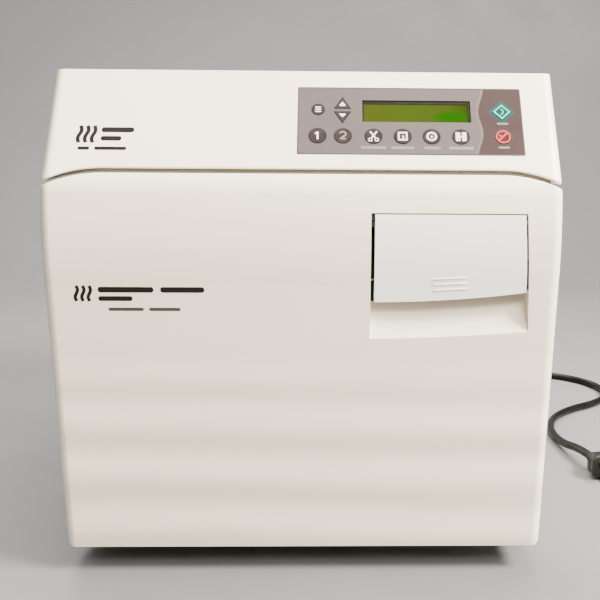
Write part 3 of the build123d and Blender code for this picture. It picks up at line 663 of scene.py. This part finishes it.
def make_relief():
    """Tapered sleeve with bend slots, where the cord leaves the rear panel."""
    rings = [((60, 247.2, 50), 6.7), ((60, 251.4, 50), 6.7)]
    rings += [((60, 251.6, 50), 9.4), ((60, 254.0, 50), 9.4)]
    for i in range(8):
        y, r = 255.0 + i * 3.4, 8.6 - i * 0.38
        rings += [((60, y, 50), r), ((60, y + 1.9, 50), r - 0.1)]
        rings += [((60, y + 2.1, 50), r - 1.1), ((60, y + 3.2, 50), r - 1.2)]
    rings += [((60, 282.4, 50), 5.5), ((60, 284.0, 50), 5.1)]
    sections = [(c, (1, 0, 0), (0, 0, 1), r, r, 1.0) for c, r in rings]
    material = slot_materials["black_moulding"]
    sleeve = lofted("cord_sleeve", sections, material, "case")
    add_bevel(sleeve, 0.0002, 2, 50.0)
    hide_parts("strain_relief")
    return sleeve


flex = make_cord()
plug = make_plug()
tie = make_tie()
sleeve = make_relief()


# ---------------------------------------------------------------- keypad prints
INK_WHITE = printed("ink_white", (0.66, 0.645, 0.61))
INK_PALE = printed("ink_pale", (0.17, 0.155, 0.14), 0.08)
INK_GREY = printed("ink_grey", (0.055, 0.045, 0.044), 0.12)
INK_DARK = printed("ink_dark", (0.010, 0.008, 0.007), 0.1)
INK_TEAL = printed("ink_teal", (0.002, 0.42, 0.33), 0.04)
INK_HALO = printed("ink_halo", (0.004, 0.055, 0.042), 0.1)
INK_PINK = printed("ink_pink", (0.43, 0.038, 0.052), 0.05)
KEY_W = (0.68, 0.78)
FILM_W = (0.28, 0.36)
START_AT = (151.9, 36.8)
STOP_AT = (151.6, 59.5)
CYCLE_X = (52.7, 74.9, 96.9, 119.3)
CYCLE_S = 59.7


def key_icons():
    """Numerals and plain pictograms, each on its own key."""
    one = Print(CONSOLE, *KEY_W)
    one.rect(9.6, 11.1, 56.2, 62.8)
    one.outline([(9.6, 56.2), (9.6, 57.8), (8.3, 58.5), (8.3, 57.3)])
    one.make("numeral_1", INK_WHITE, "key_1_body", "overlay_film")

    two = Print(CONSOLE, *KEY_W)
    turn = [math.radians(195 + 15 * i) for i in range(13)]
    arc = [(29.5 + 2.2 * math.cos(a), 58.2 + 2.2 * math.sin(a)) for a in turn]
    two.stroke([*arc, (29.6, 60.6), (27.6, 62.3)], 1.3)
    two.rect(27.2, 31.9, 61.6, 62.9)
    two.make("numeral_2", INK_PALE, "key_2_body", "overlay_film")

    up = Print(CONSOLE, *KEY_W)
    up.outline([(27.1, 32.7), (31.5, 32.7), (31.5, 31.7), (29.3, 28.8), (27.1, 31.7)])
    up.make("arrow_up", INK_WHITE, "key_up_body", "overlay_film")
    down = Print(CONSOLE, *KEY_W)
    down.outline([(26.9, 39.6), (31.7, 39.6), (31.7, 40.5), (29.3, 43.0), (26.9, 40.5)])
    down.make("arrow_down", INK_WHITE, "key_down_body", "overlay_film")

    menu = Print(CONSOLE, *KEY_W)
    for s in (33.4, 35.4, 37.4):
        menu.rect(8.3, 12.9, s, s + 0.95, 0.3)
    menu.make("menu_bars", INK_WHITE, "key_program_body", "overlay_film")

    tools = Print(CONSOLE, *KEY_W)
    x, s = CYCLE_X[0], CYCLE_S
    tools.stroke([(x - 2.6, s - 4.2), (x + 1.9, s + 2.4)], 1.2)
    tools.stroke([(x + 2.6, s - 4.2), (x - 1.9, s + 2.4)], 1.2)
    tools.ring(x - 2.5, s + 3.2, 1.7, 0.9)
    tools.ring(x + 2.5, s + 3.2, 1.7, 0.9)
    tools.make("icon_tools", INK_WHITE, "key_cycle_1_body", "overlay_film")

    pouch = Print(CONSOLE, *KEY_W)
    x, s = CYCLE_X[1], CYCLE_S
    inner = rounded(x - 2.3, x + 2.4, s - 2.4, s + 2.4, 0.3)
    pouch.band(rounded(x - 3.7, x + 3.7, s - 3.9, s + 3.9, 0.6), inner)
    pouch.rect(x - 0.4, x + 0.9, s - 0.6, s + 2.1)
    pouch.make("icon_pouch", INK_WHITE, "key_cycle_2_body", "overlay_film")

    drop = Print(CONSOLE, *KEY_W)
    x, s = CYCLE_X[2], CYCLE_S
    drop.ring(x, s, 4.1, 2.5)
    drop.disc(x + 0.1, s + 0.2, 1.0)
    drop.make("icon_dish", INK_WHITE, "key_cycle_3_body", "overlay_film")

    packs = Print(CONSOLE, *KEY_W)
    x, s = CYCLE_X[3], CYCLE_S
    packs.rect(x - 4.1, x - 0.7, s - 3.9, s + 3.9, 0.4)
    packs.rect(x + 0.7, x + 4.1, s - 3.9, s + 3.9, 0.4)
    packs.rect(x - 0.9, x + 0.9, s - 0.6, s + 0.6)
    packs.make("icon_packs", INK_WHITE, "key_cycle_4_body", "overlay_film")

    run = Print(CONSOLE, *KEY_W)
    x, s = START_AT
    run.band(diamond(x, s, 7.0), diamond(x, s, 5.0))
    chevron = [(x - 0.7, s - 2.6), (x + 0.9, s - 0.8), (x + 0.9, s + 0.8), (x - 0.7, s + 2.6)]
    run.stroke(chevron, 1.1)
    run.make("run_outline", INK_TEAL, "key_start_body", "key_green")

    stop = Print(CONSOLE, *KEY_W)
    x, s = STOP_AT
    stop.ring(x, s, 5.8, 4.5)
    stop.stroke([(x - 3.4, s + 3.1), (x + 3.1, s - 3.4)], 1.5)
    stop.stroke([(x - 3.2, s - 1.6), (x - 0.6, s + 0.4)], 1.3)
    stop.make("stop_outline", INK_PINK, "key_stop_body", "key_red")


def film_prints():
    """Everything printed on the film itself: rings round keys, the label fields and its edge."""
    halo = Print(CONSOLE, *FILM_W)
    x, s = START_AT
    halo.band(diamond(x, s, 10.2), diamond(x, s, 7.95))
    halo.make("run_halo", INK_HALO, "case", "overlay_film")

    labels = Print(CONSOLE, *FILM_W)
    for x, half in zip(CYCLE_X, (9.6, 8.6, 6.4, 9.6)):
        labels.rect(x - half, x + half, 68.5, 70.9, 0.5)
    labels.make("label_fields", INK_PALE, "case", "overlay_film")

    captions = Print(CONSOLE, *FILM_W)
    captions.rect(147.6, 156.2, 46.6, 48.3, 0.5)
    captions.rect(147.4, 155.8, 68.0, 69.7, 0.5)
    captions.make("caption_fields", INK_PALE, "case", "overlay_film")

    rings = Print(CONSOLE, *FILM_W)
    for x, s, r in ((10.6, 35.8, 4.6), (10.3, 59.5, 6.3), (29.5, 59.5, 6.3), (*STOP_AT, 6.1)):
        rings.ring(x, s, r + 0.85, r + 0.4)
    for x in CYCLE_X:
        rings.ring(x, CYCLE_S, 7.15, 6.7)
    rings.make("key_rings", INK_GREY, "case", "overlay_film")

    edge = Print(CONSOLE, *FILM_W)
    edge.band(rounded(-4.95, 167.45, 15.15, 75.75, 1.5), rounded(-4.15, 166.65, 15.95, 74.95, 1.0))
    edge.make("film_edge", INK_GREY, "case", "overlay_film")


PATCH_X, PATCH_Z = 0.1135, 0.3690
PATCH_NARROW_X, PATCH_NARROW_Z = 55.0, 150.0
LCD_GLOW = 1.6


def display_glass():
    """Liquid-crystal cell, lit from behind, with the dark bezel round it; the bezel's wide top
    band and its wider right side are painted shade cast into the recess.
    """
    s = Surface("lcd_glass", specular=0.25)
    across = s.span(s.axis("X"), 0.044, 0.128, 0.0, 1.0, False)
    stops = [
        (0.0, (0.026, 0.033, 0.004)),
        (0.45, (0.022, 0.035, 0.004)),
        (0.8, (0.022, 0.030, 0.004)),
        (1.0, (0.011, 0.021, 0.001)),
    ]
    tint = s.ramp(across, stops)
    # a brighter green patch toward the lower right of the cell, painted into both its colour and
    # its glow
    x, z = s.axis("X"), s.axis("Z")
    dx = s.math("MULTIPLY", s.math("SUBTRACT", x, PATCH_X), PATCH_NARROW_X)
    dz = s.math("MULTIPLY", s.math("SUBTRACT", z, PATCH_Z), PATCH_NARROW_Z)
    away = s.math("ADD", s.math("MULTIPLY", dx, dx), s.math("MULTIPLY", dz, dz))
    green_patch = s.span(away, 1.0, 0.0)
    tint = s.mix(green_patch, tint, (0.006, 0.038, 0.001))
    s.colour(tint)
    s.rough(0.04, 0.07, 60.0)
    s.link(tint, s.bsdf.inputs["Emission Color"])
    s.bsdf.inputs["Emission Strength"].default_value = LCD_GLOW
    cell = Print(CONSOLE, -1.25, -1.0)
    cell.rect(44.7, 127.6, 27.2, 46.4)
    cell.make("lcd_cell", s.mat, "case", "display")

    # dark bezel, widest along the top and wider on the right than the left: partly a real bezel,
    # partly painted shade of the recess round the cell
    bezel_and_shade = Print(CONSOLE, -1.0, -0.55)
    bezel_and_shade.band(rounded(44.5, 127.8, 27.0, 46.6, 0.3), rounded(45.9, 126.2, 29.6, 46.2, 0.3))
    bezel_and_shade.make("lcd_bezel_and_shade", INK_DARK, "case", "display")


def plain_marks():
    """Abstract marks in dark ink: rising-steam strokes with plain bars beside them."""
    def steam(target, x, s, height, width, gap, count):
        for k in range(count):
            line = []
            for i in range(13):
                u = i / 12
                line.append((x + k * gap + math.sin(2 * math.pi * u) * gap * 0.22, s + u * height))
            target.stroke(line, width)

    upper = Print(CONSOLE, -0.02, 0.06)
    steam(upper, -168.5, 52.0, 15.0, 3.0, 5.2, 3)
    upper.rect(-152.5, -128.0, 53.2, 57.8, 2.0)
    upper.rect(-152.5, -137.0, 61.0, 65.2, 1.9)
    upper.rect(-168.8, -160.0, 70.4, 73.4, 1.3)
    upper.rect(-156.5, -132.5, 70.4, 73.4, 1.3)
    upper.make("console_mark", INK_DARK, "case", "cream_moulding")

    lower = Print(DOOR, -0.02, 0.06)
    steam(lower, -169.5, 0.6, 12.0, 2.6, 4.8, 3)
    lower.rect(-153.5, -112.0, 1.4, 5.8, 2.0)
    lower.rect(-107.0, -74.0, 1.4, 5.8, 2.0)
    lower.rect(-153.5, -128.0, 8.6, 12.4, 1.7)
    lower.make("door_mark", INK_DARK, "door", "cream_moulding")
    thin = Print(DOOR, -0.02, 0.06)
    thin.rect(-146.5, -120.0, 17.6, 20.2, 1.1)
    thin.rect(-116.0, -92.5, 17.6, 20.2, 1.1)
    thin.make("door_rule", INK_GREY, "door", "cream_moulding")


def pocket_gap_shade():
    """Black rubber in the handle's pocket: on its back wall, its floor and its right-hand wall;
    these black sheets sit behind the gaps round the flap and are painted shade for those gaps.
    """
    gap_shade_rubber = slot_materials["black_rubber"]
    # black sheets behind the flap's gaps: painted shade, so the gaps read dark
    back = Print(Face((0, -237.0, 0), (0, 0, 1), (0, -1, 0)), 0.05, 0.65)
    back.rect(51.0, 168.0, 245.0, 285.0, 0.6)
    pad = Print(Face((0, -237.0, 241.5), (0, -0.429, -0.903), (0, -0.903, 0.429)), 0.3, 0.9)
    pad.rect(51.0, 62.0, -3.5, 14.5, 1.5)
    seal = Print(Face((0, 0, 0), (0, 0, 1), (0, 1, 0)), -262.0, -250.0)
    seal.outline([(167.75, 289.0), (170.30, 240.5), (169.70, 240.5), (167.15, 289.0)])
    for name, part in (("pocket_back_shade", back), ("pocket_pad_shade", pad), ("pocket_seal_shade", seal)):
        part.make(name, gap_shade_rubber, "door", "black_rubber")


key_icons()
film_prints()
display_glass()
plain_marks()
pocket_gap_shade()


# ---------------------------------------------------------------- handle ribs
def front_y(z):
    """The door's front surface at height z, in mm."""
    if z <= BELLY_Z:
        return FRONT_Y + BELLY_SET + (BELLY_Z - z) * DOOR_RUN
    # arc through the crest, the belly and the eave
    ay, az, by, bz = BELLY_SET, BELLY_Z - CREST_Z, EAVE_SET, EAVE_Z - CREST_Z
    p, q = (ay * ay + az * az) / 2, (by * by + bz * bz) / 2
    det = ay * bz - by * az
    cy, cz = (p * bz - q * az) / det, (ay * q - by * p) / det
    return FRONT_Y + cy - math.sqrt(cy * cy + cz * cz - (z - CREST_Z - cz) ** 2)


SEAM_TOP = 327.5
SEAM_FLAT = 148.5
SEAM_END, SEAM_DROOP = 46.0, 10.4


def seam_z(x):
    """Height of the arched seam at x, in mm: level in the middle, drooping at the ends."""
    past = max(abs(x) - SEAM_FLAT, 0.0)
    r = (SEAM_END**2 + SEAM_DROOP**2) / (2 * SEAM_DROOP)
    return SEAM_TOP - r + math.sqrt(r * r - past * past)


def face_y(z):
    """The front form's surface at height z, above the handle too."""
    if z > EAVE_Z:
        return FRONT_Y + EAVE_SET + (z - EAVE_Z) * CONSOLE_RUN
    return front_y(z)


def seam_shade_strip():
    """Strip fixed inside the console, behind the lip of the door, that closes the seam; its dark
    grey-olive colour is painted shade, standing for the shade inside the gap.
    """
    verts, faces = [], []
    section = ((9.0, 3.6), (3.2, 3.6), (3.2, 5.4), (-7.5, 5.4), (-7.5, 7.4), (9.0, 7.4))
    n, steps, half = len(section), 72, 186.0
    for i in range(steps + 1):
        x = -half + 2 * half * i / steps
        for dz, inset in section:
            z = seam_z(x) + dz
            verts.append(Vector((x, face_y(z) + inset, z)) * MM)
    for i in range(steps):
        for k in range(n):
            a, b = i * n + k, i * n + (k + 1) % n
            faces.append([a, b, b + n, a + n])
    faces += [list(range(n))[::-1], [steps * n + k for k in range(n)]]
    # dark grey-olive paint standing for the shade in the seam's gap: painted shade
    seam_shade_paint = painted_sheet("seam_shade_strip", (0.235, 0.228, 0.198))
    add_mesh("seam_shade_strip", verts, faces, seam_shade_paint, "case")


def handle_ribs():
    material = slot_materials["white_moulding"]
    for k, z in enumerate((248.3, 244.0, 239.7)):
        rings = []
        for i in range(15):
            u = i / 14
            x = 96.6 + 27.8 * u
            height = z + 1.55 * u
            end = min(u, 1 - u) * 14
            r = 0.75 * math.sqrt(max(0.0, 1 - (1 - min(end, 1.0)) ** 2)) + 0.02
            rings.append(((x, front_y(height) + 0.18, height), (0, 1, 0), (0, 0, 1), r, r, 1.0))
        lofted(f"flap_rib_{k}", rings, material, "handle", 16)


seam_shade_strip()
handle_ribs()


# ---------------------------------------------------------------- rear plate
def rear_plate():
    """Rating plate on the rear panel, with plain bars and no words."""
    back = Face((0, 251.5, 0), (0, 0, 1), (0, 1, 0))
    plate = Print(back, -0.05, 0.5)
    plate.rect(-30, 42, 150, 196, 2.5)
    piece = plate.make("rating_plate", slot_materials["stainless"], "case", "stainless")
    add_bevel(piece, 0.0002, 2)
    lines = Print(back, 0.48, 0.54)
    lines.band(rounded(-27, 39, 153, 193, 1.6), rounded(-26.4, 38.4, 153.6, 192.4, 1.2))
    for i in range(5):
        lines.rect(-22, 34 - (i % 2) * 14, 159 + i * 6.2, 160.2 + i * 6.2, 0.4)
    lines.make("rating_lines", INK_GREY, "case", "stainless")


rear_plate()


# ---------------------------------------------------------------- floor and light
FLOOR_Z = -0.0006
FLOOR_HALF_WIDTH = 3.2
FLOOR_FRONT_Y, COVE_Y = -2.2, 1.25
COVE_R = 0.9
WALL_TOP = 2.8


def make_floor():
    """Plain floor that curves up into a plain wall."""
    s = Surface("floor", specular=0.3)
    s.colour(s.mottle((0.145, 0.147, 0.151), 0.015, 3.0))
    s.rough(0.5, 0.62, 8.0)
    s.relief(s.noise(250.0, 2.0), 0.0001, 0.3)
    verts, faces, steps = [], [], 24
    profile = [(FLOOR_FRONT_Y, FLOOR_Z), (COVE_Y, FLOOR_Z)]
    for degrees in range(6, 91, 6):
        a = math.radians(degrees)
        profile.append((COVE_Y + COVE_R * math.sin(a), COVE_R - COVE_R * math.cos(a) + FLOOR_Z))
    profile.append((COVE_Y + COVE_R, WALL_TOP))
    for y, z in profile:
        for i in range(steps + 1):
            verts.append((FLOOR_HALF_WIDTH * (2 * i / steps - 1), y, z))
    for k in range(len(profile) - 1):
        for i in range(steps):
            a = k * (steps + 1) + i
            faces.append([a, a + 1, a + steps + 2, a + steps + 1])
    mesh = bpy.data.meshes.new("floor")
    mesh.from_pydata(verts, [], faces)
    mesh.materials.append(s.mat)
    mesh.shade_smooth()
    floor = bpy.data.objects.new("floor", mesh)
    bpy.context.scene.collection.objects.link(floor)


def soft_light(name, place, aim, size, power, colour=(1, 1, 1)):
    data = bpy.data.lights.new(name, "AREA")
    data.shape = "RECTANGLE"
    data.size, data.size_y = size
    data.energy = power
    data.color = colour
    lamp = bpy.data.objects.new(name, data)
    direction = Vector(aim) - Vector(place)
    turn = direction.to_track_quat("-Z", "Y").to_matrix().to_4x4()
    lamp.matrix_world = Matrix.Translation(place) @ turn
    bpy.context.scene.collection.objects.link(lamp)


make_floor()
soft_light("key", (1.5, -0.85, 1.65), (0, -0.25, 0.35), (0.9, 0.6), 290, (1.0, 0.955, 0.85))
soft_light("front", (0.6, -1.75, 1.4), (0, -0.2, 0.36), (1.3, 0.5), 48, (1.0, 0.945, 0.84))
soft_light("top", (0.0, 0.35, 2.1), (0, -0.1, 0.3), (1.8, 1.2), 150, (1.0, 0.975, 0.90))
soft_light("behind", (-0.6, 2.0, 1.6), (0, 0.1, 0.2), (1.6, 1.2), 40, (1.0, 0.99, 0.98))
world = bpy.data.worlds.new("studio")
world.use_nodes = True
world.node_tree.nodes["Background"].inputs["Color"].default_value = (0.92, 0.95, 1.0, 1.0)
world.node_tree.nodes["Background"].inputs["Strength"].default_value = 0.11
bpy.context.scene.world = world
